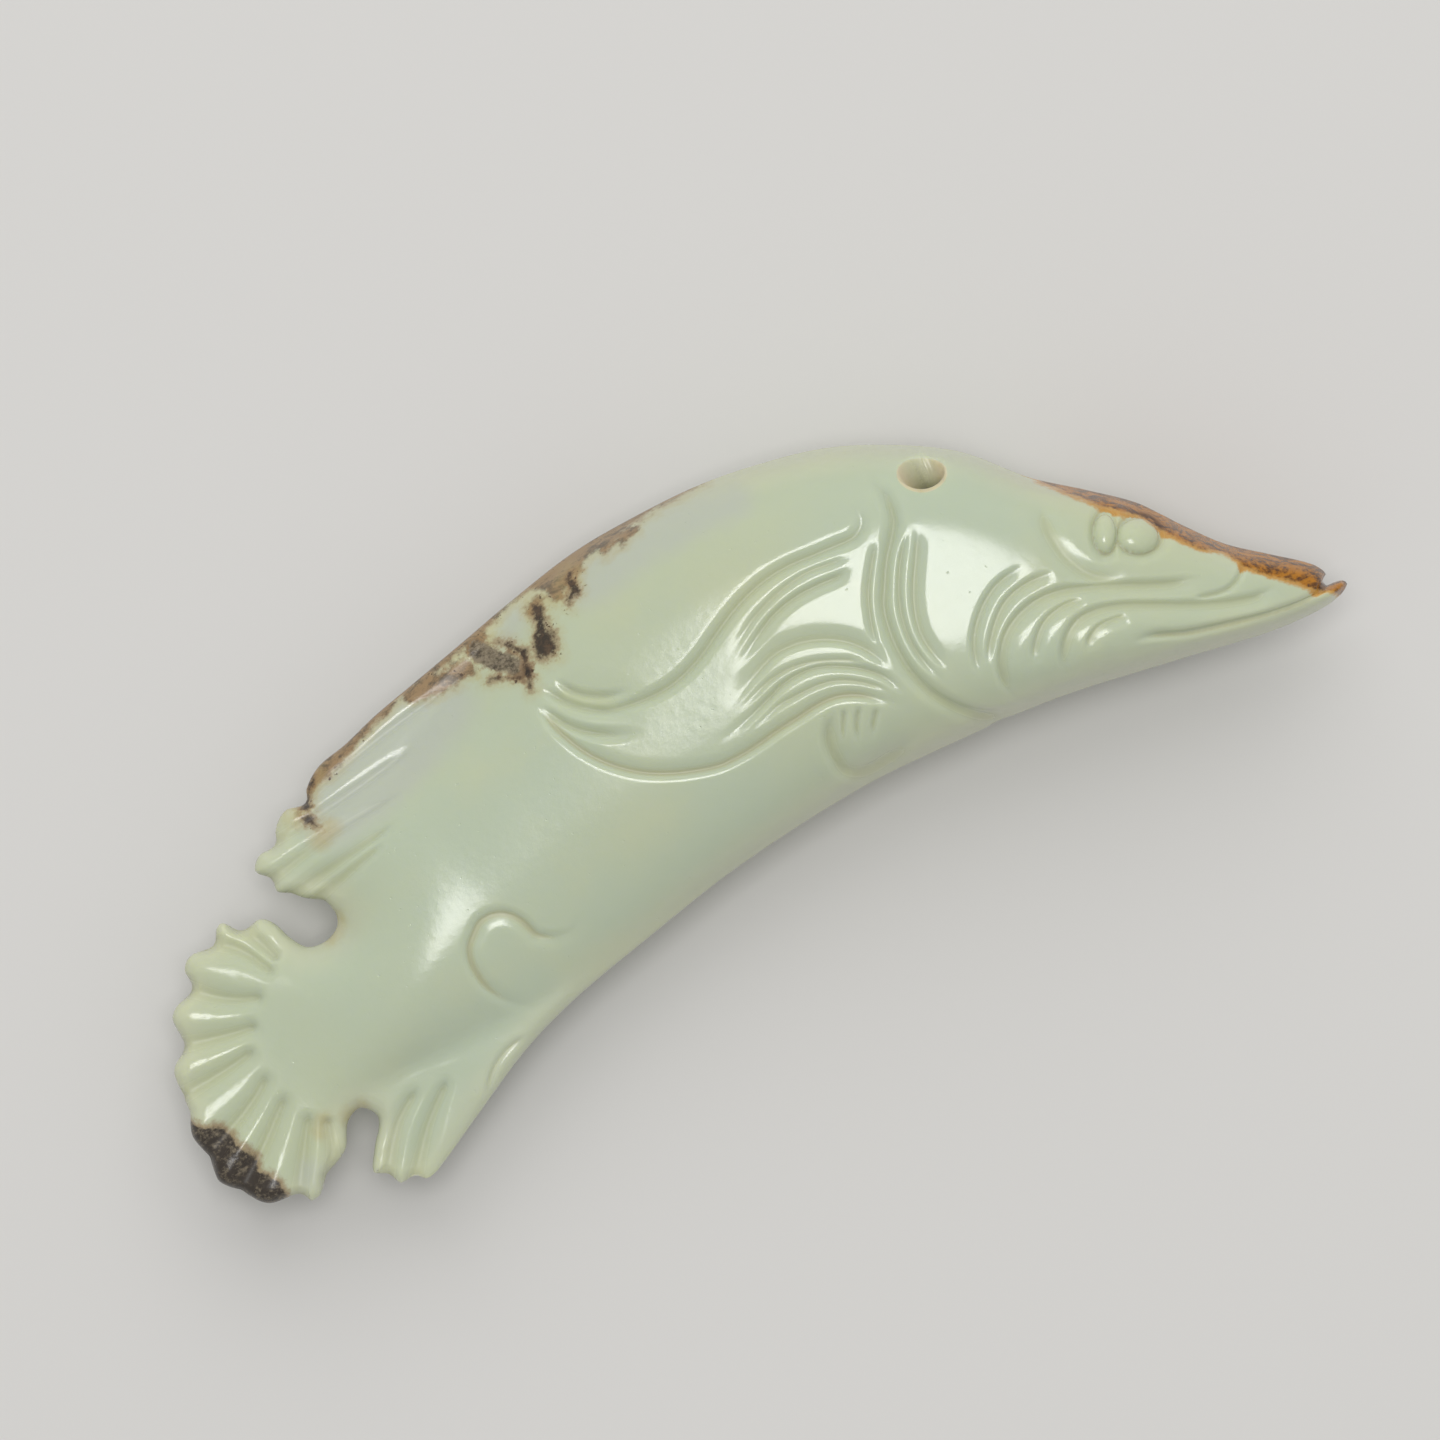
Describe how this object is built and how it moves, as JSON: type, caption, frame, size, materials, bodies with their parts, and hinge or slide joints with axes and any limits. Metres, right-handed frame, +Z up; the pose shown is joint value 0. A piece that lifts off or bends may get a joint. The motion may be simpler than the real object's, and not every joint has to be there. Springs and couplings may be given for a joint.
{
  "type": "jade fish carving",
  "caption": "Carved jade fish hand piece with flowing wing-like side fin, cheek folds, fan tail and cord hole, lying on its flank; decorative ornament or pendant.",
  "frame": {"origin": "on the surface it lies on, under the middle of its bounding box", "axes": "+X towards the snout, +Y towards the back, +Z up out of the right flank"},
  "size_m": [0.1049, 0.0416, 0.0167],
  "materials": {
    "jade": "polished pale celadon jade with russet skin on the head and darker patches along the back and tail"
  },
  "bodies": {
    "root": {"fish": "jade"}
  },
  "joints": []
}
